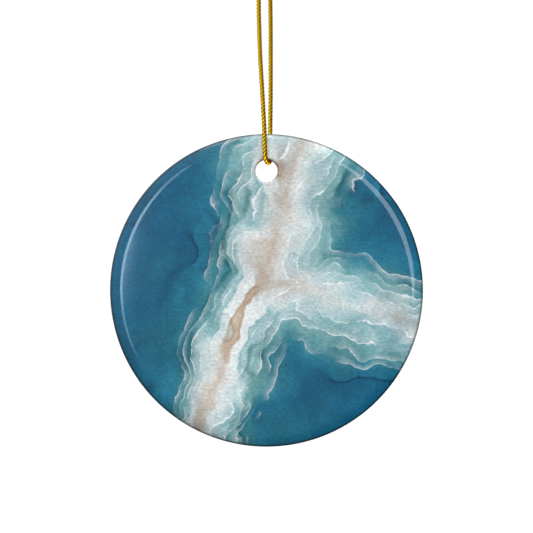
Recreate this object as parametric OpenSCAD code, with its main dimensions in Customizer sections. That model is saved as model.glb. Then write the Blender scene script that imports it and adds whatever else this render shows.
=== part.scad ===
// Round glazed ceramic ornament that hangs by a loop of twisted metallic cord.
// Millimetres, +Z up, +X to the right, printed front towards -Y.
// The origin is the inner top of the loop, where the two strands meet under the knot.

/* [Disc] */
// Diameter of the ceramic disc
disc_d = 70; // [50:0.5:90]
// Thickness of the disc between its two flat faces
disc_t = 3; // [2.4:0.1:3.6]
// Width of the rolled edge, from the flat face out to the rim
edge_w = 2.9; // [2:0.1:4.8]
// Slope of the rolled edge in degrees, where it runs into the round rim
edge_slope = 30; // [20:1:40]

/* [Hanging hole] */
// Diameter of the hole
hole_d = 5; // [4:0.1:7]
// Distance from the top of the disc down to the middle of the hole
hole_drop = 8.3; // [6.6:0.1:14]
// Radius of the rounded lip at each end of the hole
lip_r = 0.6; // [0.4:0.05:1]

/* [Printed coat] */
// Thickness of the printed coat on the front
coat_t = 0.08; // [0.05:0.01:0.2]

/* [Cord] */
// Diameter of the twisted cord
cord_d = 0.85; // [0.6:0.05:1]
// Gap between the cord and the top of the hole
seat_gap = 0.2; // [0.1:0.01:0.3]
// Gap between each upright strand and the flat face beside it
leg_gap = 0.275; // [0.2:0.005:0.5]

/* [Knot] */
// Height of the knot
knot_h = 4.4; // [3:0.1:6]
// Width of the knot
knot_w = 3.8; // [3:0.1:4.8]
// Width of the flat at each end of the knot, where the strands go in
knot_mouth_w = 2.1; // [1.9:0.1:2.4]
// Height of the cut tails above the knot
tail_h = 9; // [5:0.5:15]

/* [Hidden] */
$fn = 96;

// Disc: the rolled edge is an arc of roll_r that runs tangent into a round rim of rim_r
disc_r = disc_d / 2;
flat_r = disc_r - edge_w;
side_run = 1 - sin(edge_slope);
roll_r = (edge_w * cos(edge_slope) - disc_t / 2 * side_run)
    / (sin(edge_slope) * cos(edge_slope) - (1 - cos(edge_slope)) * side_run);
rim_r = (disc_t / 2 - roll_r * (1 - cos(edge_slope))) / cos(edge_slope);
roll_run = roll_r * sin(edge_slope);
hole_r = hole_d / 2;

// Cord: where it lies, and how its tube is divided
cord_r = cord_d / 2;
leg_y = disc_t / 2 + cord_r + leg_gap;
saddle_z = -51.4;
tube_sides = 8;
ring_pitch = 2.5 * cord_d;
strand_x = 0.23;
strand_y = 0.39;

// The disc hangs from the cord by the top of its hole
hole_z = saddle_z + cord_r + seat_gap - hole_r;
disc_z = hole_z - (disc_r - hole_drop);

// The front strand, from under the knot down to the hole
front_leg = [
    [-strand_x, -strand_y, 0],
    [-0.35, -0.6, -3],
    [-0.7, -1.2, -6],
    [-1.2, -1.8, -9],
    [-1.55, -leg_y + 0.05, -12.5],
    [-1.7, -leg_y, -16],
    [-1.6, -leg_y, -22],
    [-1.4, -leg_y, -28],
    [-1.05, -leg_y, -34],
    [-0.7, -leg_y, -40],
    [-0.45, -leg_y, -45],
    [-0.35, -leg_y, -48]];

// Over the front lip, through the hole and over the back lip
saddle = [
    [-0.3, -leg_y, -49.8],
    [-0.25, -0.95 * leg_y, -50.4],
    [-0.15, -0.8 * leg_y, -50.95],
    [0, -0.55 * leg_y, -51.3],
    [0.15, -0.27 * leg_y, saddle_z],
    [0.3, 0, saddle_z],
    [0.45, 0.27 * leg_y, -51.45],
    [0.6, 0.55 * leg_y, -51.35],
    [0.75, 0.8 * leg_y, -51.05],
    [0.85, 0.95 * leg_y, -50.55],
    [0.9, leg_y, -49.9]];

// The back strand, from the hole up to the knot
back_leg = [
    [0.85, leg_y, -48],
    [0.85, leg_y, -45],
    [0.9, leg_y, -40],
    [0.95, leg_y, -34],
    [0.95, leg_y, -28],
    [0.95, leg_y, -22],
    [0.9, leg_y, -16],
    [0.85, leg_y - 0.05, -12.5],
    [0.7, 1.8, -9],
    [0.5, 1.2, -6],
    [0.3, 0.6, -3],
    [strand_x, strand_y, 0]];

cord_route = concat(front_leg, saddle, back_leg);

// One tail as shares of its height: how far out it leans, and how high it is there
tail_lean = [[0, 0], [0.02, 0.2], [0.07, 0.45], [0.15, 0.72], [0.26, 1]];

// Smooth curve through the points of a route, with a ring about every pitch
function span(p, i) = norm(p[i + 1] - p[i]);
function chord(p, i) = (p[i + 1] - p[i]) / span(p, i);
function slope(p, i) =
    i == 0 ? chord(p, 0)
    : i == len(p) - 1 ? chord(p, i - 1)
    : (chord(p, i - 1) * span(p, i) + chord(p, i) * span(p, i - 1)) / (span(p, i - 1) + span(p, i));
function between(p, i, t) =
    p[i] * (2 * t^3 - 3 * t^2 + 1) + p[i + 1] * (3 * t^2 - 2 * t^3)
    + span(p, i) * (slope(p, i) * (t^3 - 2 * t^2 + t) + slope(p, i + 1) * (t^3 - t^2));
function steps(p, i, pitch) = ceil(span(p, i) / pitch);
function curve(p, pitch) = concat(
    [for (i = [0:len(p) - 2]) for (k = [0:steps(p, i, pitch) - 1]) between(p, i, k / steps(p, i, pitch))],
    [p[len(p) - 1]]);

// Rings across a curve. The two end rings lie level, so that the cord meets the knot face to face
function unit(v) = v / norm(v);
function heading(c, i) =
    i == 0 ? [0, 0, sign(c[1].z - c[0].z)]
    : i == len(c) - 1 ? [0, 0, sign(c[i].z - c[i - 1].z)]
    : unit(c[i + 1] - c[i - 1]);
function ring(centre, along, r) =
    let (across = unit(cross(along, [1, 0, 0])), side = cross(along, across))
    [for (k = [0:tube_sides - 1])
        centre + r * (across * cos(360 * k / tube_sides) + side * sin(360 * k / tube_sides))];

// Solid tube along a curve
module tube(c, r) {
    last = (len(c) - 1) * tube_sides;
    corners = [for (i = [0:len(c) - 1]) each ring(c[i], heading(c, i), r)];
    start_cap = [for (k = [tube_sides - 1:-1:0]) k];
    end_cap = [for (k = [0:tube_sides - 1]) last + k];
    walls = [for (i = [0:len(c) - 2]) for (k = [0:tube_sides - 1])
        let (a = i * tube_sides + k, b = i * tube_sides + (k + 1) % tube_sides)
        each [[a, b, b + tube_sides], [a, b + tube_sides, a + tube_sides]]];
    polyhedron(points = corners, faces = concat([start_cap], walls, [end_cap]));
}

// Turns a shape drawn flat, with its front up, into the hanging disc's place
module on_disc() {
    translate([0, 0, disc_z])
        rotate([90, 0, 0])
            children();
}

// Half section of the disc, with its outside drawn in by inset
module disc_section(inset = 0) {
    half_t = disc_t / 2 - inset;
    translate([0, -half_t])
        square([flat_r, 2 * half_t]);
    intersection() {
        translate([flat_r, disc_t / 2 - roll_r])
            circle(roll_r - inset);
        translate([flat_r, roll_r - disc_t / 2])
            circle(roll_r - inset);
        translate([flat_r - edge_w / 4, -half_t])
            square([edge_w / 4 + roll_run - inset * sin(edge_slope), 2 * half_t]);
    }
    translate([disc_r - rim_r, 0])
        circle(rim_r - inset);
}

// Everything on one side of the disc's middle plane: side is 1 for the front, -1 for the back
module half_of_section(side) {
    intersection() {
        children();
        translate([0, side > 0 ? 0 : -disc_t])
            square([disc_d, disc_t]);
    }
}

// The hole with its two rounded lips, as the shape that is cut away
module hole_cutter() {
    translate([0, disc_r - hole_drop, 0])
        rotate_extrude()
            union() {
                translate([0, -disc_t])
                    square([hole_r, 2 * disc_t]);
                for (back = [0, 1])
                    mirror([0, back])
                        difference() {
                            translate([0, disc_t / 2 - lip_r])
                                square([hole_r + lip_r, 2 * lip_r]);
                            translate([hole_r + lip_r, disc_t / 2 - lip_r])
                                circle(lip_r);
                        }
            }
}

// Fired ceramic body with its white glaze, set back on the front by the printed coat
module ceramic_disc() {
    color("ivory")
        on_disc()
            difference() {
                rotate_extrude()
                    union() {
                        disc_section(coat_t);
                        half_of_section(-1)
                            disc_section();
                    }
                hole_cutter();
            }
}

// Thin printed coat over the flat front and the rolled edge, down to the rim's widest line
module print_coat() {
    color("cadetblue")
        on_disc()
            difference() {
                rotate_extrude()
                    half_of_section(1)
                        difference() {
                            disc_section();
                            disc_section(coat_t);
                        }
                hole_cutter();
            }
}

// Twisted cord: down in front, through the hole and up behind
module hanging_cord() {
    color("goldenrod")
        tube(curve(cord_route, ring_pitch), cord_r);
}

// Overhand knot that ties both strands together
module cord_knot() {
    ball_r = knot_w / 2;
    cut = ball_r - sqrt(ball_r^2 - (knot_mouth_w / 2)^2);
    color("darkgoldenrod")
        rotate_extrude()
            intersection() {
                union() {
                    for (z = [ball_r - cut, knot_h - ball_r + cut])
                        translate([0, z])
                            circle(ball_r);
                    translate([0, ball_r - cut])
                        square([ball_r, knot_h - 2 * (ball_r - cut)]);
                }
                square([ball_r, knot_h]);
            }
}

// The two cut ends of the cord, leaning apart above the knot
module cord_tails() {
    out = unit([strand_x, strand_y, 0]);
    color("goldenrod")
        for (side = [-1, 1])
            tube(curve([for (p = tail_lean)
                side * [strand_x, strand_y, 0] + [0, 0, knot_h]
                + tail_h * (side * p[0] * out + [0, 0, p[1]])], ring_pitch), cord_r);
}

ceramic_disc();
print_coat();
hanging_cord();
cord_knot();
cord_tails();
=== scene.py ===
"""Looks of a round ceramic ornament on a loop of twisted gold cord, laid out as a Blender add-on."""

import math

import bmesh
import bpy
import numpy as np
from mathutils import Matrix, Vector


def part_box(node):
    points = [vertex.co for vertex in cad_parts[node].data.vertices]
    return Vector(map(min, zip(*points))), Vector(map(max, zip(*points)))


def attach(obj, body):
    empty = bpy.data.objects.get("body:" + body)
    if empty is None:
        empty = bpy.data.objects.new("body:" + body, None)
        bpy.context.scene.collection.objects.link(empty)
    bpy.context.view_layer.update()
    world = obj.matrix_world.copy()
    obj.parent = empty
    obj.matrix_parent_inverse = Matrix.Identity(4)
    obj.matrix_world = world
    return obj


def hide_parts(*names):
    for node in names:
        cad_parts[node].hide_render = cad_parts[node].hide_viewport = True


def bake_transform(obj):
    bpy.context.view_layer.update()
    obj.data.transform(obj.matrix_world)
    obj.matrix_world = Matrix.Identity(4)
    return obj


bl_info = {
    "name": "Hanging Ceramic Ornament",
    "version": (1, 0, 0),
    "blender": (4, 5, 0),
    "location": "3D View > Sidebar > Ornament",
    "description": "Builds a glazed, printed ceramic disc on a loop of twisted gold cord",
    "category": "Object",
}

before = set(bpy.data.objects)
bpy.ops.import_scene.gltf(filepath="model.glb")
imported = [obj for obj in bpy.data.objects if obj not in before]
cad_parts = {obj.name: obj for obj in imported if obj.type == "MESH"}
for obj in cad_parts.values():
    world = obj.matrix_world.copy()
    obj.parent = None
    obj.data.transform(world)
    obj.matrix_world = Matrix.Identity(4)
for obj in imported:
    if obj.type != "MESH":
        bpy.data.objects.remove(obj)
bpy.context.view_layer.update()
DISC_LOW, DISC_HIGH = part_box("ceramic_disc")
KNOT_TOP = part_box("cord_knot")[1].z

MM = 0.001


def linear(hex_colour):
    """An sRGB hex colour as the linear RGBA that Blender's sockets take."""
    shades = [int(hex_colour[k : k + 2], 16) / 255 for k in (1, 3, 5)]
    shades = [s / 12.92 if s <= 0.04045 else ((s + 0.055) / 1.055) ** 2.4 for s in shades]
    return (*shades, 1.0)


# ---------------------------------------------------------------- settings

# what the lengths among the settings share, and what the colours share
IN_MM = {"precision": 5, "subtype": "DISTANCE", "unit": "LENGTH"}
TINT = {"size": 3, "min": 0.0, "max": 1.0, "subtype": "COLOR"}


class CordSettings(bpy.types.PropertyGroup):
    """Sizes and colours of the hanging cord, its knot and its tails."""

    diameter: bpy.props.FloatProperty(
        name="Cord Diameter",
        description="Outer diameter of the twisted cord",
        default=0.85 * MM,
        min=0.4 * MM,
        max=1.2 * MM,
        **IN_MM,
    )
    plies: bpy.props.IntProperty(
        name="Plies",
        description="Threads that are twisted together into the cord",
        default=3,
        min=2,
        max=5,
    )
    # a real cord of this size goes round once in about 1.9 mm: drawn longer, so that its stripes show
    twist_pitch: bpy.props.FloatProperty(
        name="Twist Pitch",
        description="Length of cord in which a ply goes round once",
        default=2.45 * MM,
        min=1.0 * MM,
        max=5.0 * MM,
        **IN_MM,
    )
    fray: bpy.props.FloatProperty(
        name="Frayed Length",
        description="Length over which each cut tail has opened up",
        default=1.5 * MM,
        min=0.1 * MM,
        max=5.0 * MM,
        **IN_MM,
    )
    gold: bpy.props.FloatVectorProperty(
        name="Gold",
        description="Colour of the metal foil on the thread",
        default=linear("#FFE212")[:3],
        **TINT,
    )
    shade: bpy.props.FloatVectorProperty(
        name="Thread Shade",
        description="Colour of the core thread that shows between the turns of foil",
        default=linear("#B07A0A")[:3],
        **TINT,
    )


class DiscSettings(bpy.types.PropertyGroup):
    """Sizes and colours of the ceramic disc and its printed coat."""

    diameter: bpy.props.FloatProperty(
        name="Disc Diameter",
        description="Diameter of the ceramic disc",
        default=DISC_HIGH.x - DISC_LOW.x,
        **IN_MM,
    )
    thickness: bpy.props.FloatProperty(
        name="Disc Thickness",
        description="Thickness between the two flat faces",
        default=3.0 * MM,
        **IN_MM,
    )
    edge_width: bpy.props.FloatProperty(
        name="Edge Width",
        description="Width of the rolled edge, from the flat face out to the rim",
        default=2.9 * MM,
        **IN_MM,
    )
    edge_slope: bpy.props.FloatProperty(
        name="Edge Slope",
        description="Slope of the rolled edge where it runs into the round rim",
        default=math.radians(30),
        subtype="ANGLE",
        unit="ROTATION",
    )
    hole: bpy.props.FloatProperty(
        name="Hole Diameter",
        description="Diameter of the hanging hole",
        default=5.0 * MM,
        **IN_MM,
    )
    hole_drop: bpy.props.FloatProperty(
        name="Hole Drop",
        description="Distance from the top of the disc down to the middle of the hole",
        default=8.3 * MM,
        **IN_MM,
    )
    lip: bpy.props.FloatProperty(
        name="Hole Lip",
        description="Radius of the rounded lip at each end of the hole",
        default=0.6 * MM,
        **IN_MM,
    )
    coat: bpy.props.FloatProperty(
        name="Coat Thickness",
        description="Thickness of the printed coat on the front",
        default=0.08 * MM,
        **IN_MM,
    )
    glaze: bpy.props.FloatVectorProperty(
        name="Glaze",
        description="Colour of the white glaze on the back and the side",
        default=linear("#F0EEE9")[:3],
        **TINT,
    )


class PrintSettings(bpy.types.PropertyGroup):
    """Colours of the washes in the printed coat, from the pale vein outwards."""

    paper: bpy.props.FloatVectorProperty(
        name="Bare Paper",
        description="Colour where no wash was laid, in the vein and its fine lines",
        default=linear("#FAFAF6")[:3],
        **TINT,
    )
    sand: bpy.props.FloatVectorProperty(
        name="Sand Wash",
        description="Warm wash in the core of the vein",
        default=linear("#D2AE8C")[:3],
        **TINT,
    )
    pale: bpy.props.FloatVectorProperty(
        name="Pale Wash",
        description="Thinnest blue-green wash, right beside the vein",
        default=linear("#A9D2D6")[:3],
        **TINT,
    )
    green: bpy.props.FloatVectorProperty(
        name="Green Wash",
        description="Green wash between the pale and the teal one",
        default=linear("#74B3B0")[:3],
        **TINT,
    )
    teal: bpy.props.FloatVectorProperty(
        name="Teal Wash",
        description="Middle wash",
        default=linear("#2F8896")[:3],
        **TINT,
    )
    blue: bpy.props.FloatVectorProperty(
        name="Blue Wash",
        description="Strong wash outside the teal one",
        default=linear("#1F7A9B")[:3],
        **TINT,
    )
    deep: bpy.props.FloatVectorProperty(
        name="Deep Wash",
        description="Darkest wash, farthest from the vein",
        default=linear("#156285")[:3],
        **TINT,
    )


class StageSettings(bpy.types.PropertyGroup):
    """The floor, the light and the camera."""

    camera_distance: bpy.props.FloatProperty(
        name="Camera Distance",
        description="From the lens to the middle of the disc",
        default=0.26,
        min=0.1,
        max=2.0,
        **IN_MM,
    )
    view_width: bpy.props.FloatProperty(
        name="View Width",
        description="Width of the view at the middle of the disc",
        default=119.2 * MM,
        min=0.05,
        max=1.0,
        **IN_MM,
    )
    view_rise: bpy.props.FloatProperty(
        name="View Rise",
        description="Height of the middle of the view above the middle of the disc",
        default=5.3 * MM,
        **IN_MM,
    )
    floor_drop: bpy.props.FloatProperty(
        name="Floor Drop",
        description="From the bottom of the disc down to the floor",
        default=0.2,
        min=0.01,
        max=2.0,
        **IN_MM,
    )
    room_light: bpy.props.FloatProperty(
        name="Room Light",
        description="Brightness of the light that comes from all round",
        default=0.58,
        min=0.0,
        max=3.0,
    )
    floor_colour: bpy.props.FloatVectorProperty(
        name="Floor Colour",
        description="Colour of the pale floor",
        default=linear("#F4F4F4")[:3],
        **TINT,
    )


# ---------------------------------------------------------------- shared helpers

# kinds of node that stand in many places, and settings that many nodes share
MATH = "ShaderNodeMath"
VECTOR_MATH = "ShaderNodeVectorMath"
MAP_RANGE = "ShaderNodeMapRange"
MIX = "ShaderNodeMix"
NOISE = "ShaderNodeTexNoise"
ADD = {"operation": "ADD"}
SUBTRACT = {"operation": "SUBTRACT"}
MULTIPLY = {"operation": "MULTIPLY"}
MULTIPLY_ADD = {"operation": "MULTIPLY_ADD"}
DIVIDE = {"operation": "DIVIDE"}
ABSOLUTE = {"operation": "ABSOLUTE"}
MAXIMUM = {"operation": "MAXIMUM"}
SMOOTH_MIN = {"operation": "SMOOTH_MIN"}
SINE = {"operation": "SINE"}
COSINE = {"operation": "COSINE"}
ARCTAN2 = {"operation": "ARCTAN2"}
SCALE = {"operation": "SCALE"}
DOT = {"operation": "DOT_PRODUCT"}
CROSS = {"operation": "CROSS_PRODUCT"}
DISTANCE = {"operation": "DISTANCE"}
LENGTH = {"operation": "LENGTH"}
SMOOTH = {"interpolation_type": "SMOOTHSTEP"}
IN_4D = {"noise_dimensions": "4D"}
# a colour mix takes its two colours as inputs 6 and 7, and gives the result as output 2
COLOUR = {"data_type": "RGBA"}
COLOUR_TIMES = {"data_type": "RGBA", "blend_type": "MULTIPLY"}
EACH_POINT = {"domain": "POINT"}


def add(tree, kind, settings=None, links=None):
    """Adds a node and gives its outputs: settings go by name, and values or links by name or number."""
    node = tree.nodes.new(kind)
    for name, value in (settings or {}).items():
        setattr(node, name, value)
    for key, value in (links or {}).items():
        if isinstance(value, bpy.types.NodeSocket):
            tree.links.new(value, node.inputs[key])
        else:
            node.inputs[key].default_value = value
    return node.outputs


def new_material(name):
    """An empty node material and its tree."""
    made = bpy.data.materials.new(name)
    made.use_nodes = True
    made.node_tree.nodes.clear()
    return made, made.node_tree


def mottled(tree, colour, spots, size, detail, low, high):
    """The colour made darker and lighter, from low to high, in clouds or grains of a size in mm."""
    clouds = {"Vector": spots, "Scale": 1 / size, "Detail": detail, "Roughness": 0.6}
    density = add(tree, NOISE, links=clouds)[0]
    load = {"Value": density, "From Min": 0.3, "From Max": 0.7, "To Min": low, "To Max": high}
    depth = add(tree, MAP_RANGE, links=load)[0]
    return add(tree, VECTOR_MATH, SCALE, {0: colour, "Scale": depth})[0]


def give_surface(tree, look, height, relief):
    """Ends a material with its look, and with a fine relief of so many mm that follows a height."""
    bump = {"Height": height, "Distance": relief * MM, "Strength": 1.0}
    normal = add(tree, "ShaderNodeBump", links=bump)[0]
    surface = add(tree, "ShaderNodeBsdfPrincipled", links={**look, "Normal": normal})[0]
    add(tree, "ShaderNodeOutputMaterial", links={"Surface": surface})


def show(name, mesh):
    """Puts a mesh in the scene as a piece that stands at the origin."""
    piece = bpy.data.objects.new(name, mesh)
    bpy.context.scene.collection.objects.link(piece)
    return piece


def run_tree(name, mesh, tree, values):
    """Runs a mesh through a Geometry Nodes tree and keeps the result as a plain mesh."""
    piece = show(name, mesh)
    modifier = piece.modifiers.new("Make", "NODES")
    modifier.node_group = tree
    for item in tree.interface.items_tree:
        if item.item_type == "SOCKET" and item.in_out == "INPUT" and item.name in values:
            modifier[item.identifier] = values[item.name]
    bpy.context.view_layer.update()
    seen = piece.evaluated_get(bpy.context.evaluated_depsgraph_get())
    made = bpy.data.meshes.new_from_object(seen)
    made.name = name
    piece.modifiers.remove(modifier)
    piece.data = made
    bpy.data.meshes.remove(mesh)
    if len(made.polygons) == 0:
        raise RuntimeError(name + " came out of its tree with no faces")
    return piece


def line_mesh(name, lines):
    """A mesh of loose edges that runs along each of the lines."""
    points = []
    edges = []
    for line in lines:
        first = len(points)
        points.extend(tuple(point) for point in line)
        edges.extend((k, k + 1) for k in range(first, len(points) - 1))
    mesh = bpy.data.meshes.new(name)
    mesh.from_pydata(points, edges, [])
    return mesh


def respace(line, spacing):
    """The same line with its points an even distance apart."""
    steps = np.linalg.norm(np.diff(line, axis=0), axis=1)
    run = np.append(0, np.cumsum(steps))
    count = max(8, int(round(run[-1] / spacing)) + 1)
    at = np.linspace(0, run[-1], count)
    return np.stack([np.interp(at, run, line[:, k]) for k in range(3)], axis=1)


def smooth_route(points, spacing):
    """A smooth curve through the points, as the cord's solid has it, with its points evenly spaced."""
    points = np.array(points, float)
    spans = np.linalg.norm(np.diff(points, axis=0), axis=1)
    chords = np.diff(points, axis=0) / spans[:, None]
    before = chords[:-1] * spans[1:, None]
    after = chords[1:] * spans[:-1, None]
    middle = (before + after) / (spans[:-1] + spans[1:])[:, None]
    slopes = np.concatenate([chords[:1], middle, chords[-1:]])
    t = np.linspace(0, 1, 24, endpoint=False)[:, None]
    line = []
    for k, span in enumerate(spans):
        line.append(
            points[k] * (2 * t**3 - 3 * t**2 + 1)
            + points[k + 1] * (3 * t**2 - 2 * t**3)
            + span * slopes[k] * (t**3 - 2 * t**2 + t)
            + span * slopes[k + 1] * (t**3 - t**2)
        )
    line.append(points[-1:])
    return respace(np.concatenate(line), spacing)


# ---------------------------------------------------------------- cord

# lengths in this section are in mm
# from the middle line to each strand, where the two enter and leave the knot
STRAND = np.array([0.23, 0.39, 0.0])
# from the disc's middle plane to the cord, in front of it and behind it
LEG_Y = 2.2
# height of the cord where it bears on the top of the hole
SADDLE_Z = -51.4
CORD_ROUTE = [
    # the front strand, from under the knot down to the hole
    (-STRAND[0], -STRAND[1], 0),
    (-0.35, -0.6, -3),
    (-0.7, -1.2, -6),
    (-1.2, -1.8, -9),
    (-1.55, -LEG_Y + 0.05, -12.5),
    (-1.7, -LEG_Y, -16),
    (-1.6, -LEG_Y, -22),
    (-1.4, -LEG_Y, -28),
    (-1.05, -LEG_Y, -34),
    (-0.7, -LEG_Y, -40),
    (-0.45, -LEG_Y, -45),
    (-0.35, -LEG_Y, -48),
    # over the front lip, through the hole and over the back lip
    (-0.3, -LEG_Y, -49.8),
    (-0.25, -0.95 * LEG_Y, -50.4),
    (-0.15, -0.8 * LEG_Y, -50.95),
    (0, -0.55 * LEG_Y, -51.3),
    (0.15, -0.27 * LEG_Y, SADDLE_Z),
    (0.3, 0, SADDLE_Z),
    (0.45, 0.27 * LEG_Y, -51.45),
    (0.6, 0.55 * LEG_Y, -51.35),
    (0.75, 0.8 * LEG_Y, -51.05),
    (0.85, 0.95 * LEG_Y, -50.55),
    (0.9, LEG_Y, -49.9),
    # the back strand, from the hole up to the knot
    (0.85, LEG_Y, -48),
    (0.85, LEG_Y, -45),
    (0.9, LEG_Y, -40),
    (0.95, LEG_Y, -34),
    (0.95, LEG_Y, -28),
    (0.95, LEG_Y, -22),
    (0.9, LEG_Y, -16),
    (0.85, LEG_Y - 0.05, -12.5),
    (0.7, 1.8, -9),
    (0.5, 1.2, -6),
    (0.3, 0.6, -3),
    (STRAND[0], STRAND[1], 0),
]
# from point to point along a line that is drawn, and along the one that says how the cord lies
DRAWN_STEP = 0.05
# a cut tail runs up and away from the knot: shares of its reach outwards and upwards
TAIL_REACH = 9.0
TAIL_LEAN = [(0.02, 0.2), (0.07, 0.45), (0.15, 0.72), (0.26, 1)]
# soft plies press into each other, so a knot packs closer than a round cord's diameter
KNOT_GAUGE = 0.97
# shares of the cord's diameter: from its middle to the middle of a ply, and a ply's own radius
PLY_LAY = 0.306
PLY_RADIUS = 0.314
PLY_SIDES = 10
RINGS_PER_TURN = 16
# the loose threads at the end of each tail
THREADS_PER_TAIL = 9
THREAD_RADIUS = 0.045
# the foil of such a thread is about 0.12 mm wide: drawn wider, so that it shows
FOIL_WIDTH = 0.2


def twisted_cord_tree():
    """Geometry Nodes that lay round plies in a helix about each line of loose edges.

    A ply's helix turns to the right, which lays the plies up from lower left to upper right.
    Each point keeps where it lies about its ply and along the cord, for the thread's material.
    """
    tree = bpy.data.node_groups.new("Twisted Cord", "GeometryNodeTree")
    wanted = {
        "Geometry": "NodeSocketGeometry",
        "Plies": "NodeSocketInt",
        "Twist Pitch": "NodeSocketFloat",
        "Lay Radius": "NodeSocketFloat",
        "Ply Radius": "NodeSocketFloat",
        "Ring Spacing": "NodeSocketFloat",
        "Sides": "NodeSocketInt",
        "Frayed Length": "NodeSocketFloat",
        "Fray": "NodeSocketFloat",
        "Material": "NodeSocketMaterial",
    }
    for name, kind in wanted.items():
        tree.interface.new_socket(name=name, in_out="INPUT", socket_type=kind)
    tree.interface.new_socket(name="Geometry", in_out="OUTPUT", socket_type="NodeSocketGeometry")
    given = add(tree, "NodeGroupInput")

    # the line as evenly spaced rings that remember their place, once for each ply
    curve = add(tree, "GeometryNodeMeshToCurve", links={"Mesh": given["Geometry"]})[0]
    spaced = {"Curve": curve, "Length": given["Ring Spacing"]}
    rings = add(tree, "GeometryNodeResampleCurve", {"mode": "LENGTH"}, spaced)[0]
    here = add(tree, "GeometryNodeInputPosition")[0]
    along_now = add(tree, "GeometryNodeSplineParameter")["Length"]
    kept = add(tree, "GeometryNodeCaptureAttribute", EACH_POINT)[0].node
    kept.capture_items.new("FLOAT", "Along")
    kept.capture_items.new("VECTOR", "Middle")
    for name, value in (("Geometry", rings), ("Along", along_now), ("Middle", here)):
        tree.links.new(value, kept.inputs[name])
    along = kept.outputs["Along"]
    copies = {"Geometry": kept.outputs["Geometry"], "Amount": given["Plies"]}
    plies = add(tree, "GeometryNodeDuplicateElements", {"domain": "SPLINE"}, copies)

    # angle of each ring: whole turns along the cord, and an equal share of a turn for each ply
    turned = add(tree, MATH, DIVIDE, {0: along, 1: given["Twist Pitch"]})[0]
    share = add(tree, MATH, DIVIDE, {0: plies["Duplicate Index"], 1: given["Plies"]})[0]
    turns = add(tree, MATH, ADD, {0: turned, 1: share})[0]
    angle = add(tree, MATH, MULTIPLY, {0: turns, 1: math.tau})[0]
    cosine = add(tree, MATH, COSINE, {0: angle})[0]
    sine = add(tree, MATH, SINE, {0: angle})[0]
    normal = add(tree, "GeometryNodeInputNormal")["Normal"]
    tangent = add(tree, "GeometryNodeInputTangent")[0]
    side = add(tree, VECTOR_MATH, CROSS, {0: tangent, 1: normal})[0]
    first = add(tree, VECTOR_MATH, SCALE, {0: normal, "Scale": cosine})[0]
    second = add(tree, VECTOR_MATH, SCALE, {0: side, "Scale": sine})[0]
    outward = add(tree, VECTOR_MATH, ADD, {0: first, 1: second})[0]

    # the last stretch before a cut end opens up
    total = add(tree, "GeometryNodeSplineLength")["Length"]
    left = add(tree, MATH, SUBTRACT, {0: total, 1: along_now})[0]
    opening = {"Value": left, "From Min": given["Frayed Length"], "From Max": 0.0}
    opened = add(tree, MAP_RANGE, SMOOTH, opening)[0]
    wider = add(tree, MATH, MULTIPLY_ADD, {0: opened, 1: given["Fray"], 2: 1.0})[0]
    lay = add(tree, MATH, MULTIPLY, {0: wider, 1: given["Lay Radius"]})[0]
    offset = add(tree, VECTOR_MATH, SCALE, {0: outward, "Scale": lay})[0]
    moved = {"Geometry": plies["Geometry"], "Offset": offset}
    laid = add(tree, "GeometryNodeSetPosition", links=moved)[0]

    # a round ply, whose points remember which way they face
    round_ply = {"Resolution": given["Sides"], "Radius": given["Ply Radius"]}
    circle = add(tree, "GeometryNodeCurvePrimitiveCircle", {"mode": "RADIUS"}, round_ply)[0]
    faced = add(tree, "GeometryNodeCaptureAttribute", EACH_POINT)[0].node
    faced.capture_items.new("VECTOR", "Facing")
    tree.links.new(circle, faced.inputs["Geometry"])
    tree.links.new(here, faced.inputs["Facing"])
    swept = {"Curve": laid, "Profile Curve": faced.outputs["Geometry"], "Fill Caps": True}
    skin = add(tree, "GeometryNodeCurveToMesh", links=swept)[0]
    apart = add(tree, "ShaderNodeSeparateXYZ", links={0: faced.outputs["Facing"]})
    spot = add(tree, "ShaderNodeCombineXYZ", links={"X": apart["X"], "Y": apart["Y"], "Z": along})[0]
    # how far out of the cord each point lies: 1 on top of a ply, less down between two plies
    depth = add(tree, VECTOR_MATH, DISTANCE, {0: here, 1: kept.outputs["Middle"]})["Value"]
    width = add(tree, MATH, ADD, {0: given["Lay Radius"], 1: given["Ply Radius"]})[0]
    height = add(tree, MATH, DIVIDE, {0: depth, 1: width})[0]
    for name, kind, value in (("thread_lay", "FLOAT_VECTOR", spot), ("ply_height", "FLOAT", height)):
        mark = {"Geometry": skin, "Name": name, "Value": value}
        skin = add(tree, "GeometryNodeStoreNamedAttribute", {"data_type": kind, **EACH_POINT}, mark)[0]

    soft = add(tree, "GeometryNodeSetShadeSmooth", links={"Geometry": skin})[0]
    whole = add(tree, "GeometryNodeRealizeInstances", links={"Geometry": soft})[0]
    dress = {"Geometry": whole, "Material": given["Material"]}
    dressed = add(tree, "GeometryNodeSetMaterial", links=dress)[0]
    add(tree, "NodeGroupOutput", links={0: dressed})
    return tree


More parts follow.
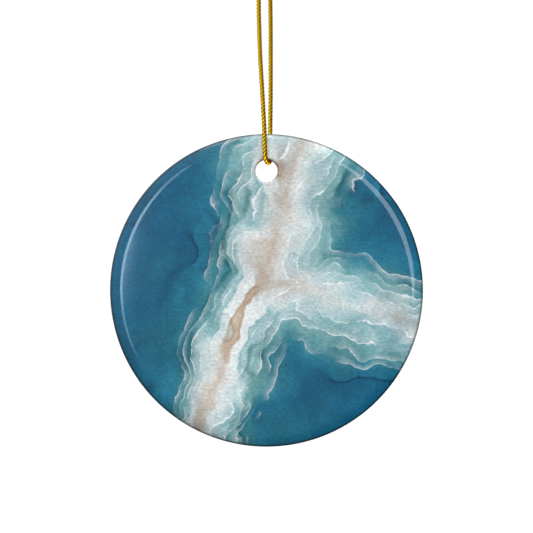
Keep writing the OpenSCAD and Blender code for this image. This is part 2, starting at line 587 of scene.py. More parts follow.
def gold_thread_material(cord):
    """Metallised polyester thread: narrow gold foil wound round a core thread.

    The foil gives small mirror glints that are drawn out across each turn, and a darker, warmer
    core shows between the turns.
    """
    made = bpy.data.materials.get("gold_foil_wound_thread")
    if made:
        return made
    made, tree = new_material("gold_foil_wound_thread")
    lay = add(tree, "ShaderNodeAttribute", {"attribute_name": "thread_lay"})["Vector"]
    part = add(tree, "ShaderNodeSeparateXYZ", links={0: lay})
    round_ply = add(tree, MATH, ARCTAN2, {0: part["Y"], 1: part["X"]})[0]
    winding = {0: part["Z"], 1: math.tau / (FOIL_WIDTH * MM), 2: round_ply}
    turns = add(tree, MATH, MULTIPLY_ADD, winding)[0]
    ridge = add(tree, MATH, SINE, {0: turns})[0]
    foil = add(tree, MAP_RANGE, SMOOTH, {"Value": ridge, "From Min": -0.95, "From Max": -0.1})[0]
    colour = add(tree, MIX, COLOUR, {0: foil, 6: (*cord.shade, 1.0), 7: (*cord.gold, 1.0)})[2]
    # painted shade: the ply's top keeps the foil's colour, its flanks are painted darker as the shade of
    # the next ply, and the groove between plies is painted dark brown as shade
    height = add(tree, "ShaderNodeAttribute", {"attribute_name": "ply_height"})["Fac"]
    for low, high, painted_shade in ((0.89, 1.0, "#C88C0C"), (0.74, 0.95, "#522406")):
        unshaded_share = add(tree, MAP_RANGE, SMOOTH, {"Value": height, "From Min": low, "From Max": high})[0]
        colour = add(tree, MIX, COLOUR, {0: unshaded_share, 6: linear(painted_shade), 7: colour})[2]
    # in patches of about 0.5 mm the foil is rubbed: paler, and less of a mirror
    coords = add(tree, "ShaderNodeTexCoord")["Object"]
    worn = add(tree, NOISE, links={"Vector": coords, "Scale": 1 / (0.5 * MM), "Detail": 2.0})[0]
    tones = {"Value": worn, "From Min": 0.3, "From Max": 0.7, "To Min": 0.67, "To Max": 0.85}
    tone = add(tree, MAP_RANGE, links=tones)[0]
    toned = add(tree, VECTOR_MATH, SCALE, {0: colour, "Scale": tone})[0]
    rough = add(tree, MAP_RANGE, links={"Value": worn, "To Min": 0.24, "To Max": 0.4})[0]
    tint = linear("#FFC83C")
    metal = {"Base Color": toned, "Metallic": 1.0, "Roughness": rough, "Specular Tint": tint}
    give_surface(tree, metal, ridge, relief=0.007)
    return made


def cord_inputs(cord, fray):
    """Tree inputs for a cord of soft plies that are pressed into each other."""
    return {
        "Plies": cord.plies,
        "Twist Pitch": cord.twist_pitch,
        "Lay Radius": PLY_LAY * cord.diameter,
        "Ply Radius": PLY_RADIUS * cord.diameter,
        "Ring Spacing": cord.twist_pitch / RINGS_PER_TURN,
        "Sides": PLY_SIDES,
        "Frayed Length": cord.fray,
        "Fray": fray,
        "Material": gold_thread_material(cord),
    }


def tighten(strands, goals, gauge, turns, spacing, hold):
    """Draws two tied strands tight: each shortens, and no two parts come nearer than the gauge.

    The ends move to their goals in the first share, hold, of the turns.
    """
    begins = [strand[[0, -1]].copy() for strand in strands]
    for turn in range(turns):
        # the strands have grown shorter, so their points are spaced out evenly again
        if turn % 30 == 0:
            strands = [respace(strand, spacing) for strand in strands]
            points = np.concatenate(strands)
            cut = len(strands[0])
            number = np.arange(len(points))
            second = number >= cut
            apart = np.abs(number[:, None] - number[None, :]) * spacing
            neighbours = (second[:, None] == second[None, :]) & (apart < 1.5 * gauge)
            ends = np.array([0, cut - 1, cut, len(points) - 1])
            inner = np.setdiff1d(number, ends)
        share = min(1.0, (turn + 1) / (hold * turns))
        held = np.concatenate([b + (g - b) * share for b, g in zip(begins, goals)])
        # each point is drawn halfway to the middle of its two neighbours
        points[inner] += 0.5 * ((points[inner - 1] + points[inner + 1]) / 2 - points[inner])
        # and what has come too near is pushed apart, twice, because one push makes another
        for _ in range(2):
            gap = points[:, None] - points[None]
            far = np.sqrt((gap**2).sum(-1)) + 1e-9
            short = np.clip(gauge - far, 0, None)
            short[neighbours] = 0
            touching = np.maximum((short > 0.05 * gauge).sum(1), 1)
            push = (gap * (short / far)[..., None]).sum(1)
            points += 0.5 * push / touching[:, None]
            points[ends] = held
        strands = [points[:cut], points[cut:]]
    return strands


def knotted_strands(gauge, height):
    """Both strands of a doubled overhand knot, drawn tight between z = 0 and its height, in mm.

    The second result is 1 where each strand leaves on the side that it came in by, and -1 where
    the knot has swapped them.
    """
    # a loose overhand knot is a curve of three polynomials, and its ends run in to the middle line
    t = np.linspace(-2.12, 2.12, 801)
    loose = 1.3 * np.stack([t**3 - 3 * t, t**4 - 4 * t**2 + 2, 0.4 * (t**5 - 10 * t)], axis=1)
    near_end = np.clip((np.abs(t) - 1.8) / 0.32, 0, 1)
    loose[:, :2] *= (1 - near_end * near_end * (3 - 2 * near_end))[:, None]
    loose = respace(loose, 0.3)
    # the two strands run side by side along it, and turn round each other as little as they can
    along = np.gradient(loose, axis=0)
    along /= np.linalg.norm(along, axis=1)[:, None]
    side = STRAND
    sides = []
    for direction in along:
        side = side - direction * np.dot(side, direction)
        side = side / np.linalg.norm(side)
        sides.append(side)
    sides = 0.5 * gauge * np.array(sides)
    top = np.array([0, 0, height])
    loose = loose + top / 2
    swap = 1 if np.dot(sides[-1], STRAND) > 0 else -1
    goals = [
        np.array([STRAND, top + swap * STRAND]),
        np.array([-STRAND, top - swap * STRAND]),
    ]
    # drawn tight with coarse points first, and then with finer ones while the ends are held
    pair = [loose + sides, loose - sides]
    pair = tighten(pair, goals, gauge, turns=500, spacing=0.42 * gauge, hold=0.75)
    pair = tighten(pair, goals, gauge, turns=90, spacing=0.25 * gauge, hold=0.01)
    return pair, swap


def tied_lines(cord):
    """Each strand's line through the knot and on up its cut tail, in metres."""
    height = KNOT_TOP / MM
    strands, swap = knotted_strands(KNOT_GAUGE * cord.diameter / MM, height)
    out = STRAND / np.linalg.norm(STRAND)
    lines = []
    for strand, way in zip(strands, (swap, -swap)):
        foot = way * STRAND + np.array([0, 0, height])
        tail = [
            foot + TAIL_REACH * (way * lean * out + np.array([0, 0, rise]))
            for lean, rise in TAIL_LEAN
        ]
        route = np.concatenate([strand[:-2:4], strand[-1:], np.array(tail)])
        lines.append(smooth_route(route, DRAWN_STEP) * MM)
    return lines


def sprung_threads(lines):
    """Lines of fine threads that have sprung out of each cut end and sag a little, in metres."""
    rng = np.random.default_rng(5)
    t = np.linspace(0, 1, 9)[:, None]
    threads = []
    for line in lines:
        # the way that the tail points over its last millimetre
        end = line[-1]
        way = line[-1] - line[-24]
        way = way / np.linalg.norm(way)
        for _ in range(THREADS_PER_TAIL):
            lean = rng.normal(0, 0.3, 3)
            start = end - 1.2 * MM * way + lean * 0.25 * MM
            reach = rng.uniform(1.2, 1.8) * MM
            sag = np.array([0, 0, -0.3 * MM]) * rng.uniform(0, 1)
            threads.append(start + reach * (way * t + lean * t**2) + sag * t**3)
    return threads


class ORNAMENT_OT_hanging_cord(bpy.types.Operator):
    """Lays the twisted gold cord down in front of the disc, through its hole and up behind"""

    bl_idname = "ornament.hanging_cord"
    bl_label = "Hanging Cord"

    def execute(self, context):
        cord = context.scene.ornament_cord
        line = line_mesh("cord_line", [smooth_route(CORD_ROUTE, DRAWN_STEP) * MM])
        piece = run_tree("twisted_hanging_cord", line, twisted_cord_tree(), cord_inputs(cord, fray=0.0))
        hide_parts("hanging_cord")
        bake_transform(piece)
        bpy.data.collections["cord_pieces"].objects.link(piece)
        return {"FINISHED"}


class ORNAMENT_OT_knot_and_tails(bpy.types.Operator):
    """Ties both strands in one overhand knot, and leaves two cut tails above it"""

    bl_idname = "ornament.knot_and_tails"
    bl_label = "Knot and Tails"

    def execute(self, context):
        cord = context.scene.ornament_cord
        tree = bpy.data.node_groups["Twisted Cord"]
        lines = tied_lines(cord)
        knot = run_tree("knot_and_tails", line_mesh("knot_lines", lines), tree, cord_inputs(cord, fray=1.5))
        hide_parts("cord_knot", "cord_tails")
        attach(knot, "loop_top")

        single = {
            **cord_inputs(cord, fray=0.0),
            "Plies": 1,
            "Lay Radius": 0.0,
            "Ply Radius": THREAD_RADIUS * MM,
            "Ring Spacing": 0.15 * MM,
            "Sides": 5,
        }
        loose = run_tree("loose_threads", line_mesh("thread_lines", sprung_threads(lines)), tree, single)
        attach(loose, "loop_top")
        for piece in (knot, loose):
            bpy.data.collections["cord_pieces"].objects.link(piece)

        return {"FINISHED"}


# ---------------------------------------------------------------- disc

DISC_SIDES = 288
# flat rings across a face, as shares of the way from the hole to the edge: closer near both
FACE_RINGS = (0.012, 0.04, 0.1, 0.22, 0.4, 0.6, 0.78, 0.9, 0.97, 0.992)


def turned_piece(name, rings, material):
    """A closed skin through rings of points, each ring a circle (middle height, radius, depth).

    The last ring joins the first one, so the skin runs once round the section and through the hole.
    """
    turn = np.linspace(0, math.tau, DISC_SIDES, endpoint=False)
    points = []
    for middle, radius, depth in rings:
        x = radius * np.cos(turn)
        z = middle + radius * np.sin(turn)
        points.extend(zip(x.tolist(), [depth] * DISC_SIDES, z.tolist()))
    faces = []
    for k in range(len(rings)):
        a = k * DISC_SIDES
        b = (k + 1) % len(rings) * DISC_SIDES
        for j in range(DISC_SIDES):
            n = (j + 1) % DISC_SIDES
            faces.append((a + j, a + n, b + n, b + j))
    mesh = bpy.data.meshes.new(name)
    mesh.from_pydata(points, [], faces)
    mesh.polygons.foreach_set("use_smooth", [True] * len(faces))
    work = bmesh.new()
    work.from_mesh(mesh)
    bmesh.ops.recalc_face_normals(work, faces=work.faces)
    work.to_mesh(mesh)
    work.free()
    mesh.materials.append(material)
    piece = show(name, mesh)
    bpy.data.collections["disc_pieces"].objects.link(piece)
    return piece


def ease(value, low, high):
    """0 below low, 1 above high, and smooth in between."""
    share = min(1.0, max(0.0, (value - low) / (high - low)))
    return share * share * (3 - 2 * share)


class DiscShape:
    """The disc's section: a flat face, a rolled edge that runs into a round rim, and a lipped hole.

    An inset is a function: how far a surface lies below the disc's outside, by the slope there.
    """

    def __init__(self, disc):
        self.half = disc.thickness / 2
        self.outer = disc.diameter / 2
        self.flat = self.outer - disc.edge_width
        self.slope = disc.edge_slope
        # the roll is tangent to the face and to the rim, which sets the radius of both
        side = 1 - math.sin(self.slope)
        sine, cosine = math.sin(self.slope), math.cos(self.slope)
        self.roll = (disc.edge_width * cosine - self.half * side) / (sine * cosine - (1 - cosine) * side)
        self.rim = (self.half - self.roll * (1 - cosine)) / cosine
        self.middle = (DISC_LOW.z + DISC_HIGH.z) / 2
        self.hole = disc.hole / 2
        self.lip = disc.lip
        self.hole_middle = DISC_HIGH.z - disc.hole_drop

    def edge(self, inset):
        """Rings from the flat face out to the rim's widest line: (middle, radius, height of the face)."""
        over_roll = np.linspace(0, self.slope, 13)
        round_rim = np.linspace(self.slope, math.pi / 2, 17)[1:]
        rings = []
        for angle in np.concatenate([over_roll, round_rim]):
            on_roll = angle <= self.slope + 1e-9
            centre = self.flat if on_roll else self.outer - self.rim
            height = self.half - self.roll if on_roll else 0.0
            radius = (self.roll if on_roll else self.rim) - inset(angle)
            rings.append(
                (self.middle, centre + radius * math.sin(angle), height + radius * math.cos(angle))
            )
        return rings

    def face(self, height):
        """Rings across the flat face, from the hole's lip out to the rolled edge."""
        rings = []
        for share in FACE_RINGS:
            middle = self.hole_middle + share * (self.middle - self.hole_middle)
            radius = (self.hole + self.lip) + share * (self.flat - self.hole - self.lip)
            rings.append((middle, radius, height))
        return rings

    def bore_lip(self, inset):
        """Rings from the hole's wall over its lip to the flat face."""
        rings = []
        for angle in np.linspace(math.pi / 2, 0, 9):
            radius = self.lip - inset(angle)
            out = self.hole + self.lip - radius * math.sin(angle)
            height = self.half - self.lip + radius * math.cos(angle)
            rings.append((self.hole_middle, out, height))
        return rings

    def side_of_disc(self, inset, way):
        """All rings of one side, from the hole's wall to the rim: way is -1 in front and 1 behind."""
        rings = self.bore_lip(inset) + self.face(self.half - inset(0.0)) + self.edge(inset)
        return [(middle, radius, way * height) for middle, radius, height in rings]


def no_inset(angle):
    """The disc's own outside."""
    return 0.0


def under_coat(disc):
    """An inset by the coat's thickness, which is even and runs out to nothing at its two ends."""
    return lambda angle: disc.coat * (1 - ease(angle, math.radians(60), math.radians(90)))


def glaze_material(disc, shape):
    """White glaze on fired clay: dipped and fired, so it is glassy and very slightly uneven.

    The hole was left unglazed inside, and its wall is painted dark brown as painted shade inside the hole.
    """
    made, tree = new_material("dipped_white_glaze_on_ceramic")
    coords = add(tree, "ShaderNodeTexCoord")["Object"]
    cloud = add(tree, NOISE, links={"Vector": coords, "Scale": 1 / (14 * MM), "Detail": 3.0})[0]
    tones = {0: cloud, 6: (*[c * 0.95 for c in disc.glaze], 1.0), 7: (*disc.glaze, 1.0)}
    white = add(tree, MIX, COLOUR, tones)[2]
    # faint iron specks in the glaze, about 0.25 mm across and a few mm apart
    specks = {"Vector": coords, "Scale": 1 / (2.6 * MM), "Randomness": 1.0}
    away = add(tree, "ShaderNodeTexVoronoi", links=specks)["Distance"]
    spot = {"Value": away, "From Min": 0.07, "From Max": 0.035, "To Max": 0.35}
    speck = add(tree, MAP_RANGE, SMOOTH, spot)[0]
    specked = add(tree, MIX, COLOUR, {0: speck, 6: white, 7: linear("#B9AB97")})[2]
    # the unglazed wall of the hole, from just outside it inwards: rough, and painted dark brown as the
    # shade inside the hole
    centre = {"Vector": coords, "Scale": (1, 0, 1), "Location": (0, 0, -shape.hole_middle)}
    from_axis = add(tree, "ShaderNodeMapping", links=centre)[0]
    reach = add(tree, VECTOR_MATH, LENGTH, {0: from_axis})["Value"]
    wall = {"Value": reach, "From Min": shape.hole + 0.35 * MM, "From Max": shape.hole + 0.02 * MM}
    inside = add(tree, MAP_RANGE, SMOOTH, wall)[0]
    clay = {"Vector": coords, "Scale": 1 / (0.6 * MM), "Detail": 3.0}
    grain = add(tree, NOISE, links=clay)[0]
    bore_shade_colours = {0: grain, 6: linear("#94683C"), 7: linear("#C69C68")}
    painted_bore_shade = add(tree, MIX, COLOUR, bore_shade_colours)[2]
    colour = add(tree, MIX, COLOUR, {0: inside, 6: specked, 7: painted_bore_shade})[2]
    rough = add(tree, MAP_RANGE, links={"Value": inside, "To Min": 0.09, "To Max": 0.7})[0]
    wave = add(tree, NOISE, links={"Vector": coords, "Scale": 1 / (7 * MM), "Detail": 1.0})[0]
    gloss = {"Base Color": colour, "Roughness": rough, "IOR": 1.52}
    give_surface(tree, gloss, wave, relief=0.03)
    return made


class ORNAMENT_OT_glazed_body(bpy.types.Operator):
    """Turns the ceramic body with its white back, rolled edges and lipped hole"""

    bl_idname = "ornament.glazed_body"
    bl_label = "Glazed Body"

    def execute(self, context):
        disc = context.scene.ornament_disc
        shape = DiscShape(disc)
        front = shape.side_of_disc(under_coat(disc), -1)
        back = shape.side_of_disc(no_inset, 1)
        piece = turned_piece("glazed_body", front + back[::-1][1:], glaze_material(disc, shape))
        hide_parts("ceramic_disc")
        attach(piece, "disc")
        return {"FINISHED"}


# ---------------------------------------------------------------- print

# lengths in this section are in mm
# the swirls in the wet washes: how wide, how far they move a spot at most, and on average in all
SWIRLS = ((30.0, 17.0), (9.0, 5.0), (2.6, 1.4), (0.8, 0.35))
MEAN_SHIFT = (11.9, 11.9, 11.9)
# the pale vein: the ways across its trunk and its branch, and how far the two lie off the middle
TRUNK_WAY = (0.952, 0, -0.305)
TRUNK_LEFT = 2.3
BRANCH_WAY = (0.28, 0, 0.96)
BRANCH_RISE = 2.0
# the edges of the washes and the agate lines wander by so much
EDGE_WANDER = 12.0
LINE_WANDER = 14.0
# each pale agate line: how far from the vein, how wide and how opaque
AGATE_LINES = (
    (3.8, 0.6, 0.9),
    (5.6, 0.3, 0.8),
    (7.3, 0.5, 0.85),
    (9.4, 0.28, 0.65),
    (11.6, 0.4, 0.6),
)


def stirred(tree, flat):
    """Spots of the print moved as the wet washes were stirred: calmly at first, and then in full."""
    spot = add(tree, VECTOR_MATH, SUBTRACT, {0: flat, 1: MEAN_SHIFT})[0]
    stages = []
    for width, shift in SWIRLS:
        swirl = add(tree, NOISE, links={"Vector": flat, "Scale": 1 / width})["Color"]
        spot = add(tree, VECTOR_MATH, MULTIPLY_ADD, {0: swirl, 1: (shift, shift, shift), 2: spot})[0]
        stages.append(spot)
    return stages[1], stages[-1]


def vein_distance(tree, flat, spot):
    """How far a spot lies from a pale vein that crosses the disc and forks to the right, in mm."""
    trunk = add(tree, VECTOR_MATH, DOT, {0: spot, 1: TRUNK_WAY})["Value"]
    across = add(tree, MATH, ADD, {0: trunk, 1: TRUNK_LEFT})[0]
    beside = add(tree, MATH, ABSOLUTE, {0: across})[0]
    fork = add(tree, VECTOR_MATH, DOT, {0: spot, 1: BRANCH_WAY})["Value"]
    above = add(tree, MATH, SUBTRACT, {0: fork, 1: BRANCH_RISE})[0]
    branch = add(tree, MATH, ABSOLUTE, {0: above})[0]
    # the branch is there on the trunk's right side only
    short = {"Value": across, "From Min": -20.0, "From Max": 0.0, "To Min": 20.0, "To Max": 1.5}
    ended = add(tree, MAP_RANGE, links=short)[0]
    forked = add(tree, MATH, ADD, {0: branch, 1: ended})[0]
    nearest = add(tree, MATH, SMOOTH_MIN, {0: beside, 1: forked, 2: 3.0})[0]
    # the vein is narrower at its foot and wider at its top
    level = add(tree, "ShaderNodeSeparateXYZ", links={0: flat})["Z"]
    narrow = {"Value": level, "From Min": -30.0, "From Max": 30.0, "To Min": 1.26, "To Max": 0.76}
    spread = add(tree, MAP_RANGE, links=narrow)[0]
    return add(tree, MATH, MULTIPLY, {0: nearest, 1: spread})[0]


def wet_washes(tree, wash, flat, spot, vein):
    """The colour of washes that were laid one over another beside the vein, and dried."""
    # (tint, mm from the vein to its edge, way, strength): the sand wash runs inwards from its edge,
    # into the vein's core, and the others run outwards
    washes = (
        (wash.sand, 1.5, -1, 0.75),
        (wash.pale, 4.4, 1, 0.85),
        (wash.green, 6.6, 1, 0.7),
        (wash.teal, 9.0, 1, 0.9),
        (wash.blue, 11.8, 1, 0.85),
        (wash.deep, 16.0, 1, 0.8),
    )
    colour = (*wash.paper, 1.0)
    for number, (tint, edge, way, strength) in enumerate(washes):
        # an edge is crisp where it dried and lost where it stayed wet
        wet = {"Vector": flat, "W": 3.7 * number, "Scale": 1 / 16.0, "Detail": 1.0}
        damp = add(tree, NOISE, IN_4D, wet)[0]
        softness = {"Value": damp, "From Min": 0.38, "From Max": 0.62, "To Min": 0.4, "To Max": 4.5}
        soft = add(tree, MAP_RANGE, links=softness)[0]
        run = {"Vector": spot, "W": 9.1 + 2.3 * number, "Scale": 1 / 11.0, "Detail": 5.0}
        stray = add(tree, NOISE, IN_4D, run)[0]
        waved = add(tree, MATH, MULTIPLY_ADD, {0: stray, 1: EDGE_WANDER, 2: vein})[0]
        past = add(tree, MATH, MULTIPLY_ADD, {0: waved, 1: way, 2: -way * (edge + EDGE_WANDER / 2)})[0]
        ratio = add(tree, MATH, DIVIDE, {0: past, 1: soft})[0]
        cover = {"Value": ratio, "From Min": -1.0, "From Max": 1.0, "To Max": strength}
        covered = add(tree, MAP_RANGE, SMOOTH, cover)[0]
        laid = add(tree, MIX, COLOUR, {0: covered, 6: colour, 7: (*tint, 1.0)})[2]
        # pigment gathers in a fine line just inside a dried edge
        drying = {"Value": soft, "From Min": 2.2, "From Max": 0.5, "To Max": 0.5}
        line = add(tree, MAP_RANGE, links=drying)[0]
        for outside, inside in ((3.2, 0.8), (-0.6, 0.6)):
            gathered = {"Value": ratio, "From Min": outside, "From Max": inside, "To Max": line}
            line = add(tree, MAP_RANGE, SMOOTH, gathered)[0]
        colour = add(tree, MIX, COLOUR_TIMES, {0: line, 6: laid, 7: (*tint, 1.0)})[2]
    return colour


def back_runs(tree, wash, colour, spot):
    """The colour with rings of up to 9 mm across, where a drop of water pushed the pigment outwards."""
    drops = add(tree, "ShaderNodeTexVoronoi", links={"Vector": spot, "Scale": 1 / 14.0, "Randomness": 0.7})
    lot = add(tree, "ShaderNodeSeparateColor", links={0: drops["Color"]})[0]
    sizes = {"Value": lot, "From Min": 0.45, "From Max": 1.0, "To Min": 0.001, "To Max": 0.33}
    size = add(tree, MAP_RANGE, links=sizes)[0]
    reach = add(tree, MATH, DIVIDE, {0: drops["Distance"], 1: size})[0]
    inside = {"Value": reach, "From Min": 1.0, "From Max": 0.7, "To Max": 0.3}
    cleared = add(tree, MAP_RANGE, SMOOTH, inside)[0]
    lighter = add(tree, MIX, COLOUR, {0: cleared, 6: colour, 7: (*wash.pale, 1.0)})[2]
    ring = 0.35
    for edge, top in ((1.35, 1.0), (0.9, 1.0)):
        pushed = {"Value": reach, "From Min": edge, "From Max": top, "To Max": ring}
        ring = add(tree, MAP_RANGE, SMOOTH, pushed)[0]
    return add(tree, MIX, COLOUR_TIMES, {0: ring, 6: lighter, 7: (*wash.teal, 1.0)})[2]


def agate_lines(tree, wash, colour, flat, calm, vein):
    """The colour with pale lines beside the vein, each with a thin veil of paint taken up inside it."""
    swelling = add(tree, NOISE, IN_4D, {"Vector": calm, "W": 2.2, "Scale": 1 / 13.0, "Detail": 2.0})[0]
    contour = add(tree, MATH, MULTIPLY_ADD, {0: swelling, 1: LINE_WANDER, 2: vein})[0]
    for number, (edge, width, opacity) in enumerate(AGATE_LINES):
        off = add(tree, MATH, SUBTRACT, {0: contour, 1: edge + LINE_WANDER / 2})[0]
        away = add(tree, MATH, ABSOLUTE, {0: off})[0]
        patchy = {"Vector": flat, "W": 7.7 * number, "Scale": 1 / 7.0, "Detail": 4.0}
        patch = add(tree, NOISE, IN_4D, patchy)[0]
        thickness = {"Value": patch, "From Min": 0.45, "From Max": 0.68, "To Max": width}
        thick = add(tree, MAP_RANGE, links=thickness)[0]
        profile = {"Value": away, "From Min": thick, "From Max": 0.0, "To Max": opacity}
        hair = add(tree, MAP_RANGE, SMOOTH, profile)[0]
        thinned = {"Value": patch, "From Min": 0.4, "From Max": 0.65, "To Max": 0.5 * opacity}
        veil = add(tree, MAP_RANGE, links=thinned)[0]
        for outside, inside in ((0.1, -0.1), (-3.0 * width - 0.6, 0.0)):
            lifted = {"Value": off, "From Min": outside, "From Max": inside, "To Max": veil}
            veil = add(tree, MAP_RANGE, SMOOTH, lifted)[0]
        both = add(tree, MATH, MAXIMUM, {0: hair, 1: veil})[0]
        colour = add(tree, MIX, COLOUR, {0: both, 6: colour, 7: (*wash.paper, 1.0)})[2]
    return colour


def printed_glaze_material(wash, shape):
    """Sublimation print under clear gloss: dye fired into a polymer coat on the glaze.

    The print is a plain agate in watercolour. It shows wet washes that run into each other with
    darker dried edges, pale agate lines, back-runs, settled pigment and the tooth of the paper.
    """
    made, tree = new_material("sublimated_print_under_clear_gloss")
    coords = add(tree, "ShaderNodeTexCoord")["Object"]
    # millimetres from the middle of the disc, the same all the way through the coat
    centre = {"Vector": coords, "Scale": (1 / MM, 0, 1 / MM), "Location": (0, 0, -shape.middle / MM)}
    flat = add(tree, "ShaderNodeMapping", links=centre)[0]
    calm, spot = stirred(tree, flat)
    vein = vein_distance(tree, flat, spot)
    colour = wet_washes(tree, wash, flat, spot, vein)
    # green water has run into the blue here and there
    tide = add(tree, NOISE, IN_4D, {"Vector": calm, "W": 31.0, "Scale": 1 / 24.0, "Detail": 3.0})[0]
    tinge = {"Value": tide, "From Min": 0.48, "From Max": 0.68, "To Max": 0.42}
    greened = add(tree, MAP_RANGE, SMOOTH, tinge)[0]
    colour = add(tree, MIX, COLOUR, {0: greened, 6: colour, 7: (*wash.teal, 1.0)})[2]
    colour = back_runs(tree, wash, colour, spot)
    # the pigment lies in clouds of about 13 mm, and darkens the washes where it is thick
    colour = mottled(tree, colour, spot, size=13.0, detail=4.0, low=0.62, high=1.03)
    colour = agate_lines(tree, wash, colour, flat, calm, vein)
    # settled grains of pigment of about 0.5 mm and the tooth of the paper at 1.2 mm, both of them
    # drawn out a little sideways
    brushed = add(tree, "ShaderNodeMapping", links={"Vector": flat, "Scale": (0.6, 1, 1.1)})[0]
    colour = mottled(tree, colour, brushed, size=0.5, detail=3.0, low=0.79, high=1.21)
    colour = mottled(tree, colour, brushed, size=1.2, detail=2.0, low=0.93, high=1.07)

    # painted shade: the print is darkened over its last 0.85 mm towards the rim, as the rim turning away
    # from the lamps
    out = add(tree, VECTOR_MATH, LENGTH, {0: flat})["Value"]
    rim = shape.outer / MM
    turn = {"Value": out, "From Min": rim - 0.85, "From Max": rim - 0.2, "To Min": 1.0, "To Max": 0.32}
    edge = add(tree, MAP_RANGE, SMOOTH, turn)[0]
    colour = add(tree, VECTOR_MATH, SCALE, {0: colour, "Scale": edge})[0]
    # and it is painted brown where it turns into the hole, as painted shade on the hole's lip
    hole_place = (0, 0, (shape.hole_middle - shape.middle) / MM)
    from_hole = add(tree, VECTOR_MATH, SUBTRACT, {0: flat, 1: hole_place})[0]
    near = add(tree, VECTOR_MATH, LENGTH, {0: from_hole})["Value"]
    hole = shape.hole / MM
    lip = {"Value": near, "From Min": hole + 0.2, "From Max": hole, "To Max": 0.9}
    painted_lip_shade = add(tree, MAP_RANGE, SMOOTH, lip)[0]
    colour = add(tree, MIX, COLOUR, {0: painted_lip_shade, 6: colour, 7: linear("#A07446")})[2]

    # the gloss waves a little, about every 8 mm
    wave = add(tree, NOISE, links={"Vector": flat, "Scale": 1 / 8.0, "Detail": 1.0})[0]
    gloss = {"Base Color": colour, "Roughness": 0.07, "IOR": 1.5}
    give_surface(tree, gloss, wave, relief=0.012)
    return made


class ORNAMENT_OT_printed_front(bpy.types.Operator):
    """Covers the front and the rolled edge with the thin printed coat"""

    bl_idname = "ornament.printed_front"
    bl_label = "Printed Front"

    def execute(self, context):
        disc = context.scene.ornament_disc
        shape = DiscShape(disc)
        outside = shape.side_of_disc(no_inset, -1)
        inside = shape.side_of_disc(under_coat(disc), -1)
        material = printed_glaze_material(context.scene.ornament_print, shape)
        piece = turned_piece("printed_front", outside + inside[::-1][1:-1], material)
        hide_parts("print_coat")
        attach(piece, "disc")
        return {"FINISHED"}


# ---------------------------------------------------------------- stage

# lengths in this section are in metres
SENSOR_WIDTH_MM = 36
FLOOR_RADIUS = 0.7
# the board is whole this far from its middle, and has faded out at the second distance
FLOOR_FADE = (0.15, 0.68)


def soft_box(name, place, size, brightness, colour, aim):
    """An oval studio lamp of even brightness that faces a point."""
    lamp = bpy.data.lights.new(name, "AREA")
    lamp.shape = "ELLIPSE"
    lamp.size = size[0]
    lamp.size_y = size[1]
    lamp.energy = math.pi * (math.pi / 4 * size[0] * size[1]) * brightness
    lamp.color = linear(colour)[:3]
    holder = bpy.data.objects.new(name, lamp)
    holder.location = place
    holder.rotation_euler = (aim - holder.location).to_track_quat("-Z", "Y").to_euler()
    bpy.context.scene.collection.objects.link(holder)
    return holder


def place_camera(stage, middle):
    """A camera straight in front of the disc, at its distance and with its width of view."""
    camera = bpy.data.cameras.new("camera")
    camera.sensor_width = SENSOR_WIDTH_MM
    camera.lens = SENSOR_WIDTH_MM * stage.camera_distance / stage.view_width
    camera.clip_start = 0.01
    camera.clip_end = 20
    eye = bpy.data.objects.new("camera", camera)
    eye.location = (0, -stage.camera_distance, middle.z + stage.view_rise)
    eye.rotation_euler = (math.pi / 2, 0, 0)
    bpy.context.scene.collection.objects.link(eye)
    bpy.context.scene.camera = eye


def painted_board_material(stage):
    """Matt painted board: an even, dull white that runs out softly into the white room."""
    made, tree = new_material("matt_painted_board")
    matt = {
        "Base Color": (*stage.floor_colour, 1.0),
        "Roughness": 0.9,
        "Emission Color": (1, 1, 1, 1),
        "Emission Strength": 0.25,
    }
    paint = add(tree, "ShaderNodeBsdfPrincipled", links=matt)[0]
    coords = add(tree, "ShaderNodeTexCoord")["Object"]
    flat = add(tree, VECTOR_MATH, MULTIPLY, {0: coords, 1: (1, 1, 0)})[0]
    out = add(tree, VECTOR_MATH, LENGTH, {0: flat})["Value"]
    fade = {"Value": out, "From Min": FLOOR_FADE[0], "From Max": FLOOR_FADE[1]}
    gone = add(tree, MAP_RANGE, SMOOTH, fade)[0]
    clear = add(tree, "ShaderNodeBsdfTransparent")[0]
    finish = add(tree, "ShaderNodeMixShader", links={0: gone, 1: paint, 2: clear})[0]
    add(tree, "ShaderNodeOutputMaterial", links={"Surface": finish})
    return made


def lay_floor(stage):
    """A round board below the ornament, which neither lights it nor shows in its gloss."""
    mesh = bpy.data.meshes.new("floor")
    work = bmesh.new()
    bmesh.ops.create_circle(work, cap_ends=True, segments=96, radius=FLOOR_RADIUS)
    bmesh.ops.translate(work, vec=(0, 0, DISC_LOW.z - stage.floor_drop), verts=work.verts)
    work.to_mesh(mesh)
    work.free()
    mesh.materials.append(painted_board_material(stage))
    floor = show("floor", mesh)
    floor.visible_diffuse = False
    floor.visible_glossy = False
    return floor


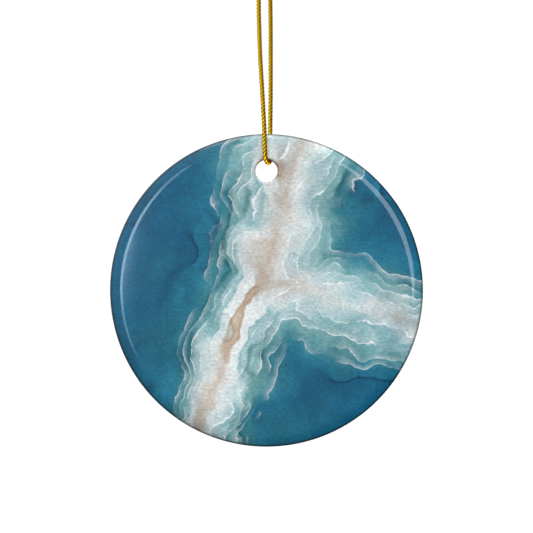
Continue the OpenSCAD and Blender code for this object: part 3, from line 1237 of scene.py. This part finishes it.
def white_room(stage):
    """A room that shines softly, most from above and the left, and is seen as plain white."""
    world = bpy.data.worlds.new("white_room")
    world.use_nodes = True
    room = world.node_tree
    room.nodes.clear()
    way = add(room, "ShaderNodeTexCoord")["Generated"]
    part = add(room, "ShaderNodeSeparateXYZ", links={0: way})
    height = {
        "Value": part["Z"],
        "From Min": -0.6,
        "From Max": 0.8,
        "To Min": 0.15 * stage.room_light,
        "To Max": 1.2 * stage.room_light,
    }
    overhead = add(room, MAP_RANGE, links=height)[0]
    width = {"Value": part["X"], "From Min": -1.0, "To Min": 1.75, "To Max": 0.12}
    sideways = add(room, MAP_RANGE, links=width)[0]
    strength = add(room, MATH, MULTIPLY, {0: overhead, 1: sideways})[0]
    glow = add(room, "ShaderNodeBackground", links={"Color": (1, 1, 1, 1), "Strength": strength})[0]
    white = add(room, "ShaderNodeBackground", links={"Color": (1, 1, 1, 1), "Strength": 1.05})[0]
    seen = add(room, "ShaderNodeLightPath")["Is Camera Ray"]
    both = add(room, "ShaderNodeMixShader", links={0: seen, 1: glow, 2: white})[0]
    add(room, "ShaderNodeOutputWorld", links={"Surface": both})
    bpy.context.scene.world = world


def hang_lamps(middle, floor):
    """The studio's lamps about the disc's middle.

    The ceramic and the cord are lit apart, as a photographer does with flags: each lamp lights one
    collection only, and the disc doesn't shade the cord from its reflectors. The wide lamps light
    both by name too, because an unlinked lamp counts double here.
    """
    ceramic = bpy.data.collections.new("disc_pieces")
    ceramic.objects.link(floor)
    thread = bpy.data.collections.new("cord_pieces")
    everything = bpy.data.collections.new("all_pieces")
    everything.children.link(ceramic)
    everything.children.link(thread)
    # name, place from the disc's middle, width and height, brightness, colour and what it lights
    lamps = (
        ("left_soft_box", (-0.29, -1.15, 0.105), (0.26, 0.54), 4.2, "#CBE9FF", ceramic),
        ("left_core", (-0.29, -1.14, 0.075), (0.24, 0.26), 5.0, "#D8EEFF", ceramic),
        ("right_soft_box", (0.42, -1.1, 0.21), (0.52, 0.56), 4.8, "#E2F3FF", ceramic),
        ("right_fill", (1.1, -0.35, -0.1), (0.8, 1.2), 3.8, "#FFFFFF", ceramic),
        ("top_soft_box", (0.0, -0.4, 1.2), (1.2, 0.9), 2.5, "#FFFFFF", everything),
        ("back_soft_box", (0.25, 1.2, 0.7), (1.2, 0.9), 4.6, "#FFFFFF", everything),
        ("left_reflector", (-0.95, -0.9, 0.15), (1.0, 1.4), 4.6, "#FFFFFF", thread),
        ("low_reflector", (0.15, 0.1, -1.0), (1.8, 2.2), 5.0, "#FFFFFF", thread),
    )
    for name, place, size, brightness, colour, lit in lamps:
        lamp = soft_box(name, middle + Vector(place), size, brightness, colour, middle)
        lamp.light_linking.receiver_collection = lit
        if lit == thread:
            lamp.light_linking.blocker_collection = lit
        # the fill is cross-polarised: it lights the print, and gives no highlight on the rim
        lamp.visible_glossy = name != "right_fill"


class ORNAMENT_OT_stage(bpy.types.Operator):
    """Sets up the camera, the pale floor and the soft studio lamps"""

    bl_idname = "ornament.stage"
    bl_label = "Stage"

    def execute(self, context):
        stage = context.scene.ornament_stage
        middle = (DISC_LOW + DISC_HIGH) / 2
        place_camera(stage, middle)
        floor = lay_floor(stage)
        white_room(stage)
        hang_lamps(middle, floor)
        context.scene.view_settings.view_transform = "Standard"
        return {"FINISHED"}


# ---------------------------------------------------------------- add-on

GROUPS = {
    "ornament_cord": CordSettings,
    "ornament_disc": DiscSettings,
    "ornament_print": PrintSettings,
    "ornament_stage": StageSettings,
}
STEPS = (
    ORNAMENT_OT_stage,
    ORNAMENT_OT_hanging_cord,
    ORNAMENT_OT_knot_and_tails,
    ORNAMENT_OT_glazed_body,
    ORNAMENT_OT_printed_front,
)


class ORNAMENT_PT_panel(bpy.types.Panel):
    """Sizes, colours and pieces of the ornament"""

    bl_idname = "ORNAMENT_PT_panel"
    bl_label = "Hanging Ceramic Ornament"
    bl_space_type = "VIEW_3D"
    bl_region_type = "UI"
    bl_category = "Ornament"

    def draw(self, context):
        for name, group in GROUPS.items():
            box = self.layout.box()
            box.label(text=name.removeprefix("ornament_").title())
            for setting in group.__annotations__:
                box.prop(getattr(context.scene, name), setting)
        for step in STEPS:
            self.layout.operator(step.bl_idname)


def register():
    for each in (*GROUPS.values(), *STEPS, ORNAMENT_PT_panel):
        bpy.utils.register_class(each)
    for name, group in GROUPS.items():
        setattr(bpy.types.Scene, name, bpy.props.PointerProperty(type=group))


def unregister():
    for name in GROUPS:
        delattr(bpy.types.Scene, name)
    for each in (ORNAMENT_PT_panel, *reversed(STEPS), *reversed(GROUPS.values())):
        bpy.utils.unregister_class(each)


def main():
    register()
    bpy.ops.ornament.stage()
    bpy.ops.ornament.hanging_cord()
    bpy.ops.ornament.knot_and_tails()
    bpy.ops.ornament.glazed_body()
    bpy.ops.ornament.printed_front()


if __name__ == "__main__":
    main()
